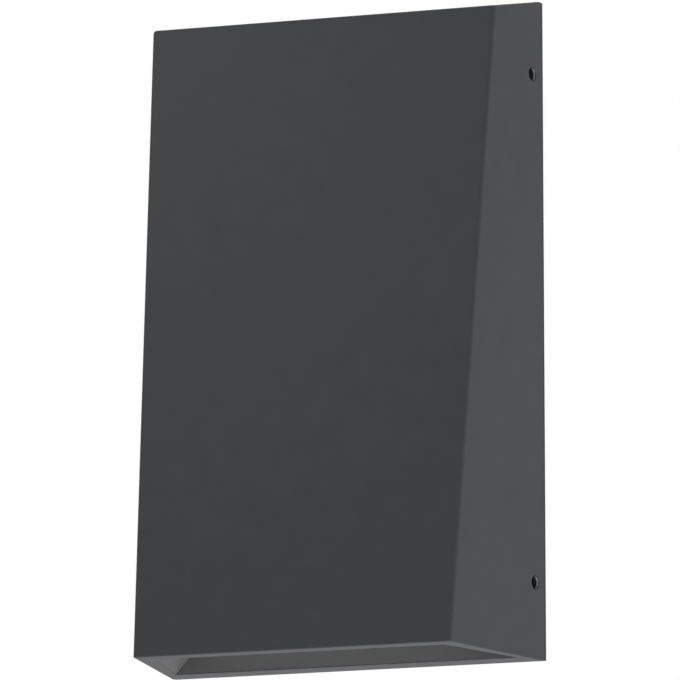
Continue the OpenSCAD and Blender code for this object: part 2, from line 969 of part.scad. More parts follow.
module driver_capacitors() {
    color([0.12, 0.14, 0.30])
        for (sx = [-1, 1])
            translate([sx * capacitor_x, 0, driver_mid])
                rod_y(capacitor_r, driver_face - capacitor_h, driver_face);
}

module driver_screws() {
    color(steel)
        for (p = driver_screw_places)
            translate(p + [0, -base_t - ear_t, 0])
                facing_room()
                    screw(m3_r, ear_t + base_t - wall_gap, m3_head_r, m3_head_h);
}

module terminal_block() {
    color([0.88, 0.88, 0.84])
        difference() {
            block(
                [-terminal_w / 2, terminal_front, terminal_z],
                [terminal_w / 2, -base_t, terminal_z + terminal_h]
            );
            for (pole = [-1, 0, 1])
                translate([pole * pole_pitch, terminal_wire_y, terminal_z - cut])
                    cylinder(r = wire_hole_r, h = terminal_h + 2 * cut);
            for (p = clamp_places)
                translate(p)
                    rod_y(clamp_r + thread_gap, terminal_front - cut, terminal_front + clamp_depth);
            for (p = terminal_screw_places)
                translate(p) {
                    rod_y(m3_r + hole_gap, terminal_front - cut, cut);
                    rod_y(m3_head_r + hole_gap, terminal_front - cut, terminal_front + terminal_head_sink);
                }
        }
}

module terminal_clamp_screws() {
    slot_t = 0.6;
    slot_depth = 1;
    seat = terminal_front + clamp_depth;
    color(steel)
        for (p = clamp_places)
            translate(p)
                difference() {
                    rod_y(clamp_r, seat - clamp_len, seat);
                    block(
                        [-clamp_r - cut, seat - clamp_len - cut, -slot_t / 2],
                        [clamp_r + cut, seat - clamp_len + slot_depth, slot_t / 2]
                    );
                }
}

module terminal_fixing_screws() {
    seat = terminal_front + terminal_head_sink;
    color(steel)
        for (p = terminal_screw_places)
            translate(p + [0, seat, 0])
                facing_room()
                    screw(m3_r, -seat - wall_gap, m3_head_r, m3_head_h);
}

module earth_screw() {
    color(steel)
        translate([earth_x, earth_seat, earth_z])
            facing_room()
                screw(m4_r, -earth_seat - wall_gap, earth_head_r, earth_head_h);
}

module earth_washer() {
    color(zinc)
        translate([earth_x, 0, earth_z])
            difference() {
                rod_y(washer_r, earth_seat, washer_y);
                rod_y(m4_r + hole_gap, earth_seat - cut, washer_y + cut);
            }
}

module earth_ring() {
    color([0.75, 0.72, 0.62])
        difference() {
            union() {
                translate([earth_x, 0, earth_z])
                    rod_y(ring_r, washer_y, earth_boss_y);
                block(
                    [barrel_x, washer_y, earth_z - barrel_r],
                    [earth_x - ring_r / 2, earth_boss_y, earth_z + barrel_r]
                );
                translate([0, barrel_y, earth_z])
                    rod_x(barrel_r, barrel_x, barrel_end_x);
            }
            translate([earth_x, 0, earth_z])
                rod_y(m4_r + hole_gap, washer_y - cut, earth_boss_y + cut);
            translate([0, barrel_y, earth_z])
                rod_x(wire_r + hole_gap, barrel_x - cut, barrel_end_x + cut);
        }
}

function unit(v) = v / norm(v);

// An insulated wire of radius r along the line; across is square to the wire or nearly so
module wire(line, r, across) {
    sides = 8;
    last = len(line) - 1;
    rings = [
        for (i = [0 : last])
            let (
                along = unit(line[min(i + 1, last)] - line[max(i - 1, 0)]),
                u = unit(cross(along, across)),
                v = cross(along, u)
            )
            for (k = [0 : sides - 1])
                line[i] + r * (cos(k * 360 / sides) * u + sin(k * 360 / sides) * v)
    ];
    skin = [
        for (i = [0 : last - 1], k = [0 : sides - 1])
            let (a = i * sides + k, b = i * sides + (k + 1) % sides)
            each [[a, b, a + sides], [b, b + sides, a + sides]]
    ];
    caps = [
        [for (k = [0 : sides - 1]) sides - 1 - k],
        [for (k = [0 : sides - 1]) last * sides + k]
    ];
    polyhedron(points = rings, faces = concat(skin, caps), convexity = 6);
}

module live_wire() {
    color([0.40, 0.22, 0.10])
        wire(mains_points(-1), wire_r, [1, 0, 0]);
}

module neutral_wire() {
    color([0.15, 0.35, 0.75])
        wire(mains_points(1), wire_r, [1, 0, 0]);
}

module earth_wire() {
    color([0.45, 0.65, 0.10])
        wire(earth_points, wire_r, [0, 1, 0]);
}

module led_lead_positive() {
    color([0.75, 0.10, 0.08])
        wire(lead_points(driver_out_x[0], lead_slot_mid[0] - lead_dx), lead_r, [1, 0, 0]);
}

module led_lead_negative() {
    color([0.08, 0.08, 0.08])
        wire(lead_points(driver_out_x[1], lead_slot_mid[0] + lead_dx), lead_r, [1, 0, 0]);
}

housing();
wall_gasket();
set_screw_right_upper();
set_screw_right_lower();
set_screw_left_upper();
set_screw_left_lower();
base_plate();
cable_grommet();
heat_sink();
heat_sink_screws();
led_board();
led_chips();
reflector();
module_screws();
diffuser_gasket();
diffuser();
diffuser_frame();
diffuser_frame_screws();
driver_case();
driver_cover();
driver_board();
driver_transformer();
driver_capacitors();
driver_screws();
terminal_block();
terminal_clamp_screws();
terminal_fixing_screws();
earth_screw();
earth_washer();
earth_ring();
live_wire();
neutral_wire();
earth_wire();
led_lead_positive();
led_lead_negative();
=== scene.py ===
"""Looks of a wall light that shines down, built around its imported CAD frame.

Metres, in the frame of the CAD: the wall is the plane y = 0, the room lies towards -Y, +Z is up.
"""

import json
import math

import bmesh
import bpy
from mathutils import Matrix, Vector
from mathutils.geometry import interpolate_bezier


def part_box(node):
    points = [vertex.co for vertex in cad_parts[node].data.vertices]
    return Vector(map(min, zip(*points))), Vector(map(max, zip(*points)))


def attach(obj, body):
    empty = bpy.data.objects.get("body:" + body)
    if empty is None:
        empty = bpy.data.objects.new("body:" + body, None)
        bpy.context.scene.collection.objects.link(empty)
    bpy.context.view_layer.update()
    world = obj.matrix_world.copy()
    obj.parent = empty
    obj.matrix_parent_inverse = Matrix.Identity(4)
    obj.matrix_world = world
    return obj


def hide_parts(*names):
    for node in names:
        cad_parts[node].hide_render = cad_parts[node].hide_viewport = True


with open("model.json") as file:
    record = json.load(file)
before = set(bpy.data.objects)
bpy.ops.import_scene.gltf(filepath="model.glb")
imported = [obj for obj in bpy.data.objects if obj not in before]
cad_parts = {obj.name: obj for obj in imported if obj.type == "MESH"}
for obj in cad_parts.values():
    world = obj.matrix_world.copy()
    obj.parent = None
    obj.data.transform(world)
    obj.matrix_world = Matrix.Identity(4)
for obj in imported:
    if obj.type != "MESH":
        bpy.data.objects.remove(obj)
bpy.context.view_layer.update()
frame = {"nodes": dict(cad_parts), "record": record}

MM = 0.001


# Camera

# Its place, turn and lens are fitted to the housing's seven visible corners
IMAGE_PIXELS = 680
SENSOR_MM = 36.0
AZIMUTH = math.radians(21.421)
ELEVATION = math.radians(-8.990)
ROLL = math.radians(-0.152)
DISTANCE = 3005.276 * MM
FOCAL_PIXELS = 10016.697
AIM = Vector((1.805, -20.0, -2.323)) * MM
# It sees what lies between these two distances
CLIP_START = 0.1
CLIP_END = 100.0


def make_camera():
    data = bpy.data.cameras.new("camera")
    data.sensor_width = SENSOR_MM
    data.lens = FOCAL_PIXELS * SENSOR_MM / IMAGE_PIXELS
    data.clip_start = CLIP_START
    data.clip_end = CLIP_END
    back = Vector((
        math.sin(AZIMUTH) * math.cos(ELEVATION),
        -math.cos(AZIMUTH) * math.cos(ELEVATION),
        math.sin(ELEVATION),
    ))
    right = Vector((math.cos(AZIMUTH), math.sin(AZIMUTH), 0.0))
    up = back.cross(right)
    turned_right = right * math.cos(ROLL) + up * math.sin(ROLL)
    turned_up = up * math.cos(ROLL) - right * math.sin(ROLL)
    turn = Matrix((turned_right, turned_up, back)).transposed().to_4x4()
    camera = bpy.data.objects.new("camera", data)
    camera.matrix_world = Matrix.Translation(AIM + back * DISTANCE) @ turn
    bpy.context.scene.collection.objects.link(camera)
    bpy.context.scene.camera = camera


make_camera()
bpy.context.scene.view_settings.view_transform = "Standard"


# Tools for the materials

# Most values of a noise lie between these two, so a ramp's two colours go there
LOW = 0.3
HIGH = 0.7


def linear(colour):
    """The linear RGBA of an sRGB hex value."""
    parts = [int(colour[i:i + 2], 16) / 255 for i in (1, 3, 5)]
    return [c / 12.92 if c <= 0.04045 else ((c + 0.055) / 1.055) ** 2.4 for c in parts] + [1.0]


def add(tree, kind, values=None, links=None, stops=None, **settings):
    """Adds a node with values on its sockets, links into them, a ramp's stops and its settings."""
    node = tree.nodes.new(kind)
    for key, value in settings.items():
        setattr(node, key, value)
    for key, value in (values or {}).items():
        node.inputs[key].default_value = value
    for key, output in (links or {}).items():
        tree.links.new(output, node.inputs[key])
    if stops:
        elements = node.color_ramp.elements
        while len(elements) < len(stops):
            # Its own place follows below
            elements.new(0.5)
        for element, (position, colour) in zip(elements, stops):
            element.position = position
            element.color = linear(colour)
    return node


def start(name):
    """An empty material, with the object's own coordinates in metres."""
    material = bpy.data.materials.new(name)
    material.use_nodes = True
    tree = material.node_tree
    tree.nodes.clear()
    return material, tree, add(tree, "ShaderNodeTexCoord").outputs["Object"]


def close(tree, shader):
    add(tree, "ShaderNodeOutputMaterial", links={"Surface": shader.outputs[0]})


def per_mm(size):
    """The scale of a noise whose features are that many millimetres wide."""
    return 1 / (size * MM)


# Finishes

def powder_coat(name, colours, roughness):
    # Polyester powder, sprayed and baked on cast aluminium: a closed satin film of one even
    # graphite, whose orange peel and grit soften every reflection
    material, tree, place = start(name)
    tone = add(
        tree, "ShaderNodeTexNoise", {"Scale": per_mm(9), "Detail": 3, "Roughness": 0.6}, {"Vector": place}
    )
    # The film flows into soft swells about a millimetre across
    peel = add(tree, "ShaderNodeTexNoise", {"Scale": per_mm(1.1), "Detail": 1}, {"Vector": place})
    # The powder's grit is some 0.05 mm, drawn at 0.35 mm so that it shows
    grit = add(tree, "ShaderNodeTexNoise", {"Scale": per_mm(0.35), "Detail": 2}, {"Vector": place})
    swells = add(tree, "ShaderNodeBump", {"Distance": 0.010 * MM}, {"Height": peel.outputs["Fac"]})
    skin = add(
        tree,
        "ShaderNodeBump",
        {"Distance": 0.004 * MM},
        {"Height": grit.outputs["Fac"], "Normal": swells.outputs["Normal"]},
    )
    colour = add(
        tree,
        "ShaderNodeValToRGB",
        links={"Fac": tone.outputs["Fac"]},
        stops=[(LOW, colours[0]), (HIGH, colours[1])],
    )
    sheen = add(
        tree,
        "ShaderNodeMapRange",
        {"To Min": roughness[0], "To Max": roughness[1]},
        {"Value": grit.outputs["Fac"]},
    )
    close(tree, add(
        tree,
        "ShaderNodeBsdfPrincipled",
        {"Specular IOR Level": 0.3},
        {
            "Base Color": colour.outputs["Color"],
            "Roughness": sheen.outputs["Result"],
            "Normal": skin.outputs["Normal"],
        },
    ))
    return material


def zinc_plated_sheet():
    # Cold-rolled steel sheet, pressed and bright zinc plated: cool silver with faint warm bloom
    # and the lines of the rolling mill, which run along Z
    material, tree, place = start("cold-rolled steel sheet, bright zinc plated")
    bloom = add(
        tree, "ShaderNodeTexNoise", {"Scale": per_mm(14), "Detail": 3, "Roughness": 0.6}, {"Vector": place}
    )
    # Rolling lines are some 0.05 mm apart, drawn at 0.4 mm so that they show and 60 times as long
    drawn = add(tree, "ShaderNodeMapping", {"Scale": (1, 1, 1 / 60)}, {"Vector": place})
    lines = add(
        tree, "ShaderNodeTexNoise", {"Scale": per_mm(0.4), "Detail": 3}, {"Vector": drawn.outputs["Vector"]}
    )
    colour = add(
        tree,
        "ShaderNodeValToRGB",
        links={"Fac": bloom.outputs["Fac"]},
        stops=[(0.25, "#bfc3c7"), (0.50, "#c4c7c9"), (0.75, "#c8c7c2")],
    )
    sheen = add(
        tree, "ShaderNodeMapRange", {"To Min": 0.26, "To Max": 0.44}, {"Value": lines.outputs["Fac"]}
    )
    skin = add(tree, "ShaderNodeBump", {"Distance": 0.003 * MM}, {"Height": lines.outputs["Fac"]})
    close(tree, add(
        tree,
        "ShaderNodeBsdfPrincipled",
        {"Metallic": 1.0},
        {
            "Base Color": colour.outputs["Color"],
            "Roughness": sheen.outputs["Result"],
            "Normal": skin.outputs["Normal"],
        },
    ))
    return material


def grained(name, colours, tone, grain, depth_mm, roughness, shader):
    """A finish whose colour drifts with a coarse noise, and whose gloss and relief follow a fine one."""
    material, tree, place = start(name)
    coarse = add(tree, "ShaderNodeTexNoise", tone, {"Vector": place})
    fine = add(tree, "ShaderNodeTexNoise", grain, {"Vector": place})
    colour = add(
        tree,
        "ShaderNodeValToRGB",
        links={"Fac": coarse.outputs["Fac"]},
        stops=[(LOW, colours[0]), (HIGH, colours[1])],
    )
    sheen = add(
        tree,
        "ShaderNodeMapRange",
        {"To Min": roughness[0], "To Max": roughness[1]},
        {"Value": fine.outputs["Fac"]},
    )
    skin = add(tree, "ShaderNodeBump", {"Distance": depth_mm * MM}, {"Height": fine.outputs["Fac"]})
    close(tree, add(
        tree,
        "ShaderNodeBsdfPrincipled",
        shader,
        {
            "Base Color": colour.outputs["Color"],
            "Roughness": sheen.outputs["Result"],
            "Normal": skin.outputs["Normal"],
        },
    ))
    return material


def bare_aluminium(name):
    # Aluminium as it leaves the tool: soft grey, with flow marks and a fine even skin
    return grained(
        name,
        ("#a3a5a8", "#b6b8b9"),
        tone={"Scale": per_mm(7), "Detail": 4, "Roughness": 0.6, "Distortion": 1.2},
        grain={"Scale": per_mm(0.6), "Detail": 3},
        depth_mm=0.015,
        roughness=(0.4, 0.56),
        shader={"Metallic": 1.0},
    )


def plastic(name, colours, tone_mm, grain_mm, depth_mm, roughness, ior):
    """A moulded or coated plastic: a hint of uneven colour under the skin that its tool gave it."""
    return grained(
        name,
        colours,
        tone={"Scale": per_mm(tone_mm), "Detail": 2},
        grain={"Scale": per_mm(grain_mm), "Detail": 2},
        depth_mm=depth_mm,
        roughness=roughness,
        shader={"IOR": ior},
    )


def insulation(colour, shades):
    # Extruded PVC: even colour, half gloss
    return plastic(
        colour + " PVC insulation, extruded",
        shades,
        tone_mm=3,
        grain_mm=0.5,
        depth_mm=0.008,
        roughness=(0.36, 0.48),
        ior=1.54,
    )


GRAPHITE = powder_coat("graphite polyester powder coat, baked", ("#3b3c3f", "#3e3f42"), (0.44, 0.56))
# A paler, rougher copy of the coat for the light opening's walls: painted light, so that they look as
# brightly lit as the sides
PAINTED_LIGHT_GRAPHITE = powder_coat("graphite powder coat, paler as painted light", ("#5d5d5e", "#616162"), (0.54, 0.68))
ZINC_SHEET = zinc_plated_sheet()
CAST_ALUMINIUM = bare_aluminium("aluminium, die-cast and tumbled")
# A capacitor's can, bare on top
CAN_TOP = bare_aluminium("aluminium, deep drawn")
# EPDM rubber, pressed in a mould: matt charcoal with a fine even grain
RUBBER = grained(
    "EPDM rubber, moulded",
    ("#2d2d2e", "#343435"),
    tone={"Scale": per_mm(6), "Detail": 2},
    grain={"Scale": per_mm(0.5), "Detail": 3},
    depth_mm=0.02,
    roughness=(0.7, 0.88),
    shader={"IOR": 1.52},
)
# Hardened steel, blackened in hot salts and oiled: near black with brown clouds and a dull sheen.
# Its turning marks are some 0.05 mm, drawn at 0.25 mm so that they show
BLACK_STEEL = grained(
    "hardened steel, black oxide",
    ("#2a2a2b", "#3a3836"),
    tone={"Scale": per_mm(1.2), "Detail": 3},
    grain={"Scale": per_mm(0.25), "Detail": 2},
    depth_mm=0.004,
    roughness=(0.3, 0.48),
    shader={"Metallic": 0.85},
)
# Steel wire, cold headed, thread rolled and zinc plated: bright, with small marks of the dies
ZINC_SCREW = grained(
    "cold-headed steel, bright zinc plated",
    ("#b5babf", "#cbccca"),
    tone={"Scale": per_mm(2), "Detail": 2},
    grain={"Scale": per_mm(0.4), "Detail": 2},
    depth_mm=0.004,
    roughness=(0.22, 0.36),
    shader={"Metallic": 1.0},
)
# Copper sheet, stamped and tin plated: warm silver with a soft sheen
TINNED_COPPER = grained(
    "copper sheet, tin plated",
    ("#c0bbb0", "#cfccc5"),
    tone={"Scale": per_mm(1.5), "Detail": 2},
    grain={"Scale": per_mm(0.4), "Detail": 2},
    depth_mm=0.004,
    roughness=(0.26, 0.42),
    shader={"Metallic": 1.0},
)
# Near black, dull and very dark: painted shade on the walls of the casting's deep bores
PAINTED_SHADE_BLACK = plastic(
    "near-black finish, painted shade in bores", ("#0f0f10", "#151516"),
    tone_mm=3, grain_mm=0.5, depth_mm=0.01, roughness=(0.6, 0.75), ior=1.5,
)
# White solder mask, printed on an aluminium-core board: bright with a half-gloss skin
WHITE_BOARD = plastic(
    "white solder mask, printed and cured", ("#e2e2dd", "#ebebe7"),
    tone_mm=6, grain_mm=0.7, depth_mm=0.006, roughness=(0.28, 0.38), ior=1.5,
)
# Moulded polycarbonate, filled white for high reflection: half matt
WHITE_PLASTIC = plastic(
    "white polycarbonate, moulded", ("#e5e5e1", "#ededea"),
    tone_mm=8, grain_mm=0.6, depth_mm=0.006, roughness=(0.34, 0.46), ior=1.58,
)
# Moulded polycarbonate whose mould was spark eroded: matt, with a grain of about half a millimetre
DRIVER_PLASTIC = plastic(
    "white polycarbonate, spark-textured mould", ("#d6d6d0", "#dfdfda"),
    tone_mm=10, grain_mm=0.5, depth_mm=0.03, roughness=(0.46, 0.6), ior=1.58,
)
# Moulded polyamide: waxy off-white
TERMINAL_PLASTIC = plastic(
    "natural polyamide, moulded", ("#d6d5cb", "#e1e0d8"),
    tone_mm=5, grain_mm=0.5, depth_mm=0.012, roughness=(0.40, 0.52), ior=1.53,
)
# Green solder mask on glass epoxy: the cloth's weave and the tracks make it uneven
GREEN_BOARD = plastic(
    "green solder mask on glass epoxy", ("#1c5629", "#267137"),
    tone_mm=2.5, grain_mm=0.9, depth_mm=0.02, roughness=(0.26, 0.36), ior=1.55,
)
# Polyester tape, wound: glossy amber with the turns' faint waves
TAPE = plastic(
    "amber polyester tape, wound", ("#cf9f1c", "#dcb336"),
    tone_mm=4, grain_mm=1.2, depth_mm=0.03, roughness=(0.2, 0.32), ior=1.6,
)
# Manganese-zinc ferrite, pressed and sintered: dark grey, stony and matt
FERRITE = plastic(
    "ferrite, pressed and sintered", ("#36373a", "#434447"),
    tone_mm=1.5, grain_mm=0.4, depth_mm=0.02, roughness=(0.5, 0.66), ior=2.0,
)
# PVC sleeve, shrunk over an aluminium can: glossy dark blue
SLEEVE = plastic(
    "dark blue PVC sleeve, heat shrunk", ("#1b2140", "#262d4d"),
    tone_mm=3, grain_mm=0.8, depth_mm=0.008, roughness=(0.26, 0.38), ior=1.54,
)
# Phosphor in clear silicone, dispensed: wet yellow
PHOSPHOR = plastic(
    "yellow phosphor in silicone, dispensed", ("#dfbe46", "#ecce5e"),
    tone_mm=0.8, grain_mm=0.3, depth_mm=0.004, roughness=(0.2, 0.3), ior=1.41,
)
# Silicone, moulded: milky and soft looking
SILICONE = plastic(
    "translucent silicone, moulded", ("#d0d0cb", "#dcdcd8"),
    tone_mm=3, grain_mm=0.5, depth_mm=0.008, roughness=(0.38, 0.5), ior=1.41,
)
# Opal polycarbonate, extruded and satin etched: even milk white with a soft sheen
OPAL = plastic(
    "opal polycarbonate, satin etched", ("#e6e8e9", "#eaeced"),
    tone_mm=12, grain_mm=0.4, depth_mm=0.004, roughness=(0.42, 0.52), ior=1.58,
)
BROWN_PVC = insulation("brown", ("#64422b", "#704b32"))
BLUE_PVC = insulation("blue", ("#2a5fa8", "#336db9"))
GREEN_PVC = insulation("green", ("#2b7434", "#348440"))
YELLOW_PVC = insulation("yellow", ("#c9b322", "#d6c02c"))
RED_PVC = insulation("red", ("#ac2320", "#bb2d27"))
BLACK_PVC = insulation("black", ("#212122", "#2a2a2b"))


# Tools for the pieces

# Corners closer than this are one
WELD = 1e-6
# Faces that turn less than this are one
FLAT = math.radians(0.6)
# Edges that turn more than this are rounded
SHARP = math.radians(30)
# The highest weight: large faces alone rule the shading, so they look flat
FACE_WEIGHT = 100
# The numbers of the finishes of a piece that has two
MAIN, OTHER = range(2)
BODY_OF = {
    node: body for body, nodes in frame["record"]["behaviour"]["bodies"].items() for node in nodes
}


def joined(node):
    """A CAD node as a bmesh with its corners joined."""
    made = bmesh.new()
    made.from_mesh(frame["nodes"][node].data)
    bmesh.ops.remove_doubles(made, verts=made.verts, dist=WELD)
    return made


def whole(node):
    """A CAD node as a bmesh with each flat face in one piece."""
    made = joined(node)
    bmesh.ops.dissolve_limit(made, angle_limit=FLAT, verts=made.verts, edges=made.edges)
    return made


def weigh_edges(made, share=lambda edge: 1.0):
    """Gives each sharp edge its share of the rounding's width."""
    weight = made.edges.layers.float.new("bevel_weight_edge")
    for edge in made.edges:
        if edge.is_manifold and edge.calc_face_angle() > SHARP:
            edge[weight] = share(edge)


def put(name, made, materials, node):
    """Turns a bmesh into a piece that stands for a CAD node and rides on its body."""
    mesh = bpy.data.meshes.new(name)
    made.to_mesh(mesh)
    made.free()
    for material in materials:
        mesh.materials.append(material)
    mesh.shade_smooth()
    piece = bpy.data.objects.new(name, mesh)
    bpy.context.scene.collection.objects.link(piece)
    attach(piece, BODY_OF[node])
    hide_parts(node)
    return piece


def round_edges(piece, width_mm, segments=2, strip=-1):
    """Rounds the weighted edges, in the finish of that number, and keeps flat faces flat to the eye."""
    bevel = piece.modifiers.new("rounded edges", "BEVEL")
    bevel.width = width_mm * MM
    bevel.segments = segments
    bevel.limit_method = "WEIGHT"
    bevel.use_clamp_overlap = False
    bevel.material = strip
    flat = piece.modifiers.new("flat faces", "WEIGHTED_NORMAL")
    flat.weight = FACE_WEIGHT


def rounded(node, material, width_mm):
    """A CAD node with its sharp edges rounded over that width."""
    made = whole(node)
    weigh_edges(made)
    round_edges(put(node + "_rounded", made, [material], node), width_mm)


def join_rings(made, rings):
    """Joins rings of corners into a closed skin, and gives its bands of faces and its two ends."""
    bands = [
        [
            made.faces.new((ring[step - 1], following[step - 1], following[step], ring[step]))
            for step in range(len(ring))
        ]
        for ring, following in zip(rings, rings[1:])
    ]
    return bands, (made.faces.new(rings[0]), made.faces.new(rings[-1][::-1]))


def full_turn(steps):
    """That many equal steps of one turn, as angles."""
    return [2 * math.pi * step / steps for step in range(steps)]


# Housing

# The numbers of its finishes: the second paints shade in the bores, the third paints light on the light
# opening's walls, the fourth paints a highlight at the bores' mouths
COATED, PAINTED_SHADE_BORE, PAINTED_LIGHT_COAT, PAINTED_HIGHLIGHT_MOUTH = range(4)
# The set screws' bores run along X, near the wall, and their faces lie this near to their axes
BORE_Y = -7 * MM
BORE_Z = 77 * MM
BORE_REACH = 2.4 * MM
# The ring of faces round a bore is this wide, and the paler mouth, a painted highlight, this deep
COLLAR = 1.5 * MM
MOUTH_DEPTH = 0.9 * MM
# The light opening's rim lies below this height
RIM_TOP = -90 * MM
# Widths of the rounding of the edges
RIDGE_MM = 0.9
BOTTOM_EDGE_MM = 0.5
REAR_EDGE_MM = 0.25
INNER_EDGE_MM = 0.35
HOLE_RIM_MM = 0.4
BORE_EDGE_MM = 0.1
# A face that looks squarely one way has more than this of its normal that way
SQUARELY = 0.999
# A side face has more than this of its normal along X, because it draws in by 10 degrees
SIDEWAYS = 0.95
# A bore's face has less than this of its normal along its axis
ALONG = 0.1
# A wall of the light opening has less than this along Z, because its flares lie at 42 degrees
WALL_SLOPE = 0.75


def is_outer(made, face):
    """An outer face has the whole casting on one side."""
    centre = face.calc_center_median()
    return all((vert.co - centre).dot(face.normal) < 2 * WELD for vert in made.verts)


def side_faces(made, side):
    """The outer faces on the left, -1, or on the right, 1."""
    return [face for face in made.faces if face.normal.x * side > SIDEWAYS and is_outer(made, face)]


def mark_bores(made):
    """Gives the bores a near-black finish: painted shade for their dark depths."""
    for face in made.faces:
        middle = face.calc_center_median()
        off_axis = math.hypot(middle.y - BORE_Y, abs(middle.z) - BORE_Z)
        if off_axis < BORE_REACH and abs(face.normal.x) < ALONG:
            # Painted shade: the near-black finish darkens the bores' walls
            face.material_index = PAINTED_SHADE_BORE


def add_collars(made, side):
    """Fills a side face anew, with a ring of faces round each bore, so that its rim rounds cleanly."""
    flat = side_faces(made, side)
    around = [edge for edge in made.edges if sum(face in flat for face in edge.link_faces) == 1]
    rims = [edge for edge in around if any(face.material_index == PAINTED_SHADE_BORE for face in edge.link_faces)]
    inside = [edge for edge in made.edges if all(face in flat for face in edge.link_faces)]
    bmesh.ops.delete(made, geom=flat, context="FACES_ONLY")
    bmesh.ops.delete(made, geom=inside, context="EDGES")
    ring = {}
    for up in (-1, 1):
        rim = dict.fromkeys(vert for edge in rims for vert in edge.verts if vert.co.z * up > 0)
        middle = sum((vert.co for vert in rim), Vector()) / len(rim)
        for vert in rim:
            out = vert.co - middle
            ring[vert] = made.verts.new(vert.co + out.normalized() * COLLAR)
    for edge in rims:
        here, there = edge.verts
        made.faces.new((here, there, ring[there], ring[here]))
    edges = [edge for edge in around if edge not in rims]
    edges += [made.edges.get([ring[vert] for vert in edge.verts]) for edge in rims]
    bmesh.ops.triangle_fill(made, use_beauty=True, edges=edges)


def paint_highlight_mouths(made, side):
    """Gives the bores' mouths the aluminium finish, paler than the coat: a painted highlight on their rims.
    """
    wall = side_faces(made, side)[0]
    bores = [face for face in made.faces if face.material_index == PAINTED_SHADE_BORE]
    bmesh.ops.bisect_plane(
        made,
        geom=bores + list(dict.fromkeys(edge for face in bores for edge in face.edges)),
        plane_co=wall.verts[0].co - wall.normal * MOUTH_DEPTH,
        plane_no=wall.normal,
    )
    for face in made.faces:
        depth = (wall.verts[0].co - face.calc_center_median()).dot(wall.normal)
        if face.material_index == PAINTED_SHADE_BORE and depth < MOUTH_DEPTH:
            # Painted highlight: the paler aluminium finish lights up the bores' rims
            face.material_index = PAINTED_HIGHLIGHT_MOUTH


def mark_light_opening(made, outer):
    """Gives the walls of the light opening the paler copy of the coat: painted light."""
    for face in made.faces:
        within = face not in outer and face.calc_center_median().z < RIM_TOP
        if within and abs(face.normal.z) < WALL_SLOPE:
            # Painted light: the paler copy of the coat makes these walls look brightly lit
            face.material_index = PAINTED_LIGHT_COAT


def casting_edge_mm(edge, outer):
    """The width of one edge's rounding: outer edges have a larger radius than inner ones."""
    faces = edge.link_faces
    finishes = [face.material_index for face in faces]
    if PAINTED_HIGHLIGHT_MOUTH in finishes and any(face in outer for face in faces):
        return HOLE_RIM_MM
    if PAINTED_SHADE_BORE in finishes or PAINTED_HIGHLIGHT_MOUTH in finishes:
        return BORE_EDGE_MM
    if not outer.issuperset(faces):
        return INNER_EDGE_MM
    if any(abs(face.normal.y) > SQUARELY for face in faces):
        return REAR_EDGE_MM
    if any(face.normal.z < -SQUARELY for face in faces):
        return BOTTOM_EDGE_MM
    return RIDGE_MM


def housing_casting():
    """The casting, coated all over, with painted shade in its bores, a painted highlight at their mouths,
    painted light on the walls of its light opening, and its rounded edges.
    """
    made = whole("housing")
    mark_bores(made)
    for side in (-1, 1):
        add_collars(made, side)
    bmesh.ops.recalc_face_normals(made, faces=made.faces)
    for side in (-1, 1):
        paint_highlight_mouths(made, side)
    outer = {face for face in made.faces if is_outer(made, face)}
    mark_light_opening(made, outer)
    # A share of one is a width of one millimetre
    weigh_edges(made, lambda edge: casting_edge_mm(edge, outer))
    piece = put("housing_casting", made, [GRAPHITE, PAINTED_SHADE_BLACK, PAINTED_LIGHT_GRAPHITE, CAST_ALUMINIUM], "housing")
    round_edges(piece, width_mm=1.0, segments=3, strip=COATED)


housing_casting()


# Pieces that keep their CAD form

# Each node, its finish and the rounding of its edges in millimetres
FINISHES = [
    ("wall_gasket", RUBBER, 0.12),
    ("set_screw_right_upper", BLACK_STEEL, 0.08),
    ("set_screw_right_lower", BLACK_STEEL, 0.08),
    ("set_screw_left_upper", BLACK_STEEL, 0.08),
    ("set_screw_left_lower", BLACK_STEEL, 0.08),
    ("base_plate", ZINC_SHEET, 0.2),
    ("cable_grommet", RUBBER, 0.25),
    ("heat_sink", CAST_ALUMINIUM, 0.25),
    ("heat_sink_screws", ZINC_SCREW, 0.1),
    ("led_board", WHITE_BOARD, 0.08),
    ("reflector", WHITE_PLASTIC, 0.02),
    ("module_screws", ZINC_SCREW, 0.1),
    ("diffuser_gasket", SILICONE, 0.15),
    ("diffuser", OPAL, 0.3),
    ("diffuser_frame", WHITE_PLASTIC, 0.2),
    ("diffuser_frame_screws", ZINC_SCREW, 0.08),
    ("driver_case", DRIVER_PLASTIC, 0.06),
    ("driver_cover", DRIVER_PLASTIC, 0.4),
    ("driver_board", GREEN_BOARD, 0.1),
    ("driver_screws", ZINC_SCREW, 0.1),
    ("terminal_block", TERMINAL_PLASTIC, 0.1),
    ("terminal_clamp_screws", ZINC_SCREW, 0.04),
    ("terminal_fixing_screws", ZINC_SCREW, 0.1),
    ("earth_screw", ZINC_SCREW, 0.12),
    ("earth_washer", ZINC_SCREW, 0.08),
    ("earth_ring", TINNED_COPPER, 0.06),
]
for finish in FINISHES:
    rounded(*finish)


# Wires

# A wire's solid has this many sides, each shorter than a millimetre
SOLID_SIDES = 8
SOLID_SIDE = 1 * MM
WIRE_SIDES = 16
# Steps of the round wire between two points of its solid's middle
WIRE_STEPS = 4
# A curve's handle is a sixth of the way between its point's two neighbours
HANDLE = 6
STRIPES = 4


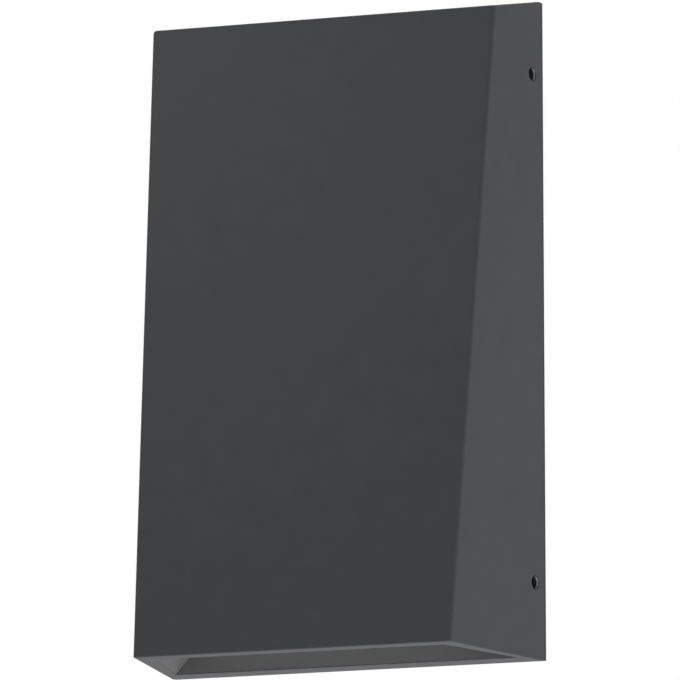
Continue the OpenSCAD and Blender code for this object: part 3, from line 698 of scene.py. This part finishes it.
def middle_line(node):
    """The middle of a wire's solid, from end to end, and its radius."""
    flat = whole(node)
    end = next(
        face for face in flat.faces
        if len(face.verts) == SOLID_SIDES and max(edge.calc_length() for edge in face.edges) < SOLID_SIDE
    )
    corners = [vert.co.copy() for vert in end.verts]
    flat.free()
    made = joined(node)
    ring = [vert for vert in made.verts if min((vert.co - co).length for co in corners) < WELD]
    passed = set()
    line = []
    while ring:
        line.append(sum((vert.co for vert in ring), Vector()) / len(ring))
        passed.update(ring)
        beside = dict.fromkeys(edge.other_vert(vert) for vert in ring for edge in vert.link_edges)
        ring = [vert for vert in beside if vert not in passed]
    made.free()
    return line, (corners[0] - line[0]).length


def smooth_path(line):
    """The points of a smooth curve through those of the line."""
    path = []
    for number in range(len(line) - 1):
        before, here, there, after = (
            line[min(max(number + step, 0), len(line) - 1)] for step in (-1, 0, 1, 2)
        )
        path += interpolate_bezier(
            here, here + (there - before) / HANDLE, there - (after - here) / HANDLE, there, WIRE_STEPS + 1
        )[:-1]
    return path + [line[-1]]


def insulated_wire(node, *materials):
    """A round wire along the middle of its solid, with its colours in stripes from end to end."""
    line, radius = middle_line(node)
    path = smooth_path(line)
    made = bmesh.new()
    rings = []
    across = (path[1] - path[0]).orthogonal()
    for number, point in enumerate(path):
        along = (path[min(number + 1, len(path) - 1)] - path[max(number - 1, 0)]).normalized()
        across = (across - along * across.dot(along)).normalized()
        up = along.cross(across)
        rings.append([
            made.verts.new(point + radius * (across * math.cos(turn) + up * math.sin(turn)))
            for turn in full_turn(WIRE_SIDES)
        ])
    bands, ends = join_rings(made, rings)
    for band in bands:
        for number, face in enumerate(band):
            face.material_index = number * STRIPES // WIRE_SIDES % len(materials)
    for end in ends:
        for edge in end.edges:
            edge.smooth = False
    bmesh.ops.recalc_face_normals(made, faces=made.faces)
    put(node + "_insulated", made, materials, node)


insulated_wire("live_wire", BROWN_PVC)
insulated_wire("neutral_wire", BLUE_PVC)
insulated_wire("earth_wire", GREEN_PVC, YELLOW_PVC)
insulated_wire("led_lead_positive", RED_PVC)
insulated_wire("led_lead_negative", BLACK_PVC)


# LEDs, transformer and capacitors

# The LED's package has a frame this wide round its window, whose slope is as wide as it is deep
WINDOW_FRAME = 0.3 * MM
WINDOW_DEPTH = 0.12 * MM
# The underside has less than this of its normal along Z
DOWNWARDS = -0.9
PACKAGE_EDGE_MM = 0.05
# The four sides of the core and the coil between them, in shares of the whole, with their finish
TRANSFORMER_BLOCKS = [
    ((0.0, 0.12, 0.0), (1.0, 0.88, 0.22), MAIN),
    ((0.0, 0.12, 0.78), (1.0, 0.88, 1.0), MAIN),
    ((0.0, 0.12, 0.22), (0.2, 0.88, 0.78), MAIN),
    ((0.8, 0.12, 0.22), (1.0, 0.88, 0.78), MAIN),
    ((0.2, 0.0, 0.22), (0.8, 1.0, 0.78), OTHER),
]
# The rounding of the core's edges and of the coil's
BLOCK_EDGES_MM = (0.3, 0.8)
# A can's outline from foot to top, in shares of its radius and of its height
CAN_OUTLINE = [
    (0.90, 0.0), (0.98, 0.02), (1.0, 0.05), (1.0, 0.13), (0.95, 0.15), (0.93, 0.17), (0.95, 0.19),
    (1.0, 0.21), (1.0, 0.95), (0.98, 0.98), (0.93, 1.0), (0.84, 0.99), (0.82, 0.965),
]
CAN_SIDES = 32
CAN_EDGE_MM = 0.08


def led_packages():
    """Twelve LEDs: a white moulded package whose underside has a sunk window of phosphor."""
    made = whole("led_chips")
    for face in [face for face in made.faces if face.normal.z < DOWNWARDS]:
        bmesh.ops.inset_individual(made, faces=[face], thickness=WINDOW_FRAME)
        bmesh.ops.inset_individual(made, faces=[face], thickness=WINDOW_DEPTH, depth=-WINDOW_DEPTH)
        face.material_index = OTHER
    weigh_edges(made)
    round_edges(put("led_packages", made, [WHITE_PLASTIC, PHOSPHOR], "led_chips"), PACKAGE_EDGE_MM)


def transformer():
    """A taped coil in a ferrite core that closes round it."""
    low, high = (Vector(corner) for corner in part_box("driver_transformer"))
    size = Matrix.Diagonal(high - low)
    made = bmesh.new()
    for first, last, finish in TRANSFORMER_BLOCKS:
        near, far = low + size @ Vector(first), low + size @ Vector(last)
        place = Matrix.Translation((near + far) / 2) @ Matrix.Diagonal(far - near).to_4x4()
        block = bmesh.ops.create_cube(made, size=1.0, matrix=place)["verts"]
        for face in {face for vert in block for face in vert.link_faces}:
            face.material_index = finish
    # A share of one is a width of one millimetre
    weigh_edges(made, lambda edge: BLOCK_EDGES_MM[edge.link_faces[0].material_index])
    piece = put("driver_transformer_wound", made, [FERRITE, TAPE], "driver_transformer")
    round_edges(piece, width_mm=1.0, segments=3)


def capacitors():
    """Two cans in a shrunk sleeve, with a rolled groove near the foot and a bare sunk top."""
    low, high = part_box("driver_capacitors")
    radius = (high[2] - low[2]) / 2
    made = bmesh.new()
    for middle in (low[0] + radius, high[0] - radius):
        rings = [
            [
                made.verts.new((
                    middle + width * radius * math.cos(turn),
                    high[1] - height * (high[1] - low[1]),
                    low[2] + radius + width * radius * math.sin(turn),
                ))
                for turn in full_turn(CAN_SIDES)
            ]
            for width, height in CAN_OUTLINE
        ]
        bands, ends = join_rings(made, rings)
        for face in [*bands[-1], ends[1]]:
            face.material_index = OTHER
    bmesh.ops.recalc_face_normals(made, faces=made.faces)
    weigh_edges(made)
    piece = put("driver_capacitors_sleeved", made, [SLEEVE, CAN_TOP], "driver_capacitors")
    round_edges(piece, CAN_EDGE_MM)


led_packages()
transformer()
capacitors()


# Stage

WHITE = linear("#ffffff")
# The light hangs high on its wall, so the floor lies far below it
FLOOR_Z = -4.6
FLOOR_HALF_WIDTH = 54.0
FLOOR_GLOW = 0.55
WORLD_LEVEL = 0.26
# Each soft box with its place, its width in metres and its power in watts
SOFT_BOXES = [
    ("soft_box_left", (-0.25, -0.35, 0.30), 0.25, 0.41),
    ("soft_box_right", (2.0, -0.6, -0.6), 1.0, 18.0),
    ("soft_box_below", (0.12, -0.32, -0.95), 0.6, 5.4),
    ("soft_box_behind", (-0.9, 2.2, 0.9), 1.0, 12.0),
]


def shown(tree, level):
    """That level to the camera and in gloss and glass, and nothing to the rest."""
    path = add(tree, "ShaderNodeLightPath").outputs
    seen = add(
        tree,
        "ShaderNodeMath",
        links={0: path["Is Camera Ray"], 1: path["Is Glossy Ray"]},
        operation="MAXIMUM",
    )
    clear = add(
        tree,
        "ShaderNodeMath",
        links={0: seen.outputs[0], 1: path["Is Transmission Ray"]},
        operation="MAXIMUM",
    )
    return add(
        tree, "ShaderNodeMath", {1: level}, {0: clear.outputs[0]}, operation="MULTIPLY"
    ).outputs[0]


def make_floor():
    """A wide painted floor."""
    made = bmesh.new()
    bmesh.ops.create_grid(made, x_segments=1, y_segments=1, size=FLOOR_HALF_WIDTH)
    mesh = bpy.data.meshes.new("floor")
    made.to_mesh(mesh)
    made.free()
    floor = bpy.data.objects.new("floor", mesh)
    floor.location.z = FLOOR_Z
    bpy.context.scene.collection.objects.link(floor)
    material, tree, place = start("matt white floor paint, rolled")
    patch = add(tree, "ShaderNodeTexNoise", {"Scale": per_mm(400)}, {"Vector": place})
    tone = add(
        tree,
        "ShaderNodeValToRGB",
        links={"Fac": patch.outputs["Fac"]},
        stops=[(LOW, "#f0f0f0"), (HIGH, "#f4f4f4")],
    )
    paint = add(
        tree,
        "ShaderNodeBsdfPrincipled",
        {"Roughness": 0.9, "Specular IOR Level": 0.1},
        {"Base Color": tone.outputs["Color"]},
    )
    glow = add(
        tree,
        "ShaderNodeEmission",
        {"Color": WHITE},
        {"Strength": shown(tree, FLOOR_GLOW)},
    )
    close(tree, add(tree, "ShaderNodeAddShader", links={0: paint.outputs[0], 1: glow.outputs[0]}))
    mesh.materials.append(material)


def make_world():
    """White to the camera and in reflections, and a plain level of light on everything else."""
    world = bpy.data.worlds.new("studio")
    bpy.context.scene.world = world
    world.use_nodes = True
    tree = world.node_tree
    tree.nodes.clear()
    soft = add(tree, "ShaderNodeBackground", {"Color": WHITE, "Strength": WORLD_LEVEL})
    backdrop = add(tree, "ShaderNodeBackground", {"Color": WHITE, "Strength": 1.0})
    mixed = add(
        tree,
        "ShaderNodeMixShader",
        links={0: shown(tree, 1.0), 1: soft.outputs[0], 2: backdrop.outputs[0]},
    )
    add(tree, "ShaderNodeOutputWorld", links={"Surface": mixed.outputs[0]})


def make_soft_box(name, place, width, power):
    """A square lamp that faces the light."""
    data = bpy.data.lights.new(name, "AREA")
    data.shape = "SQUARE"
    data.size = width
    data.energy = power
    lamp = bpy.data.objects.new(name, data)
    place = Vector(place)
    lamp.rotation_euler = (place - AIM).to_track_quat("Z", "Y").to_euler()
    lamp.location = place
    lamp.visible_camera = False
    bpy.context.scene.collection.objects.link(lamp)


make_floor()
make_world()
for soft_box in SOFT_BOXES:
    make_soft_box(*soft_box)
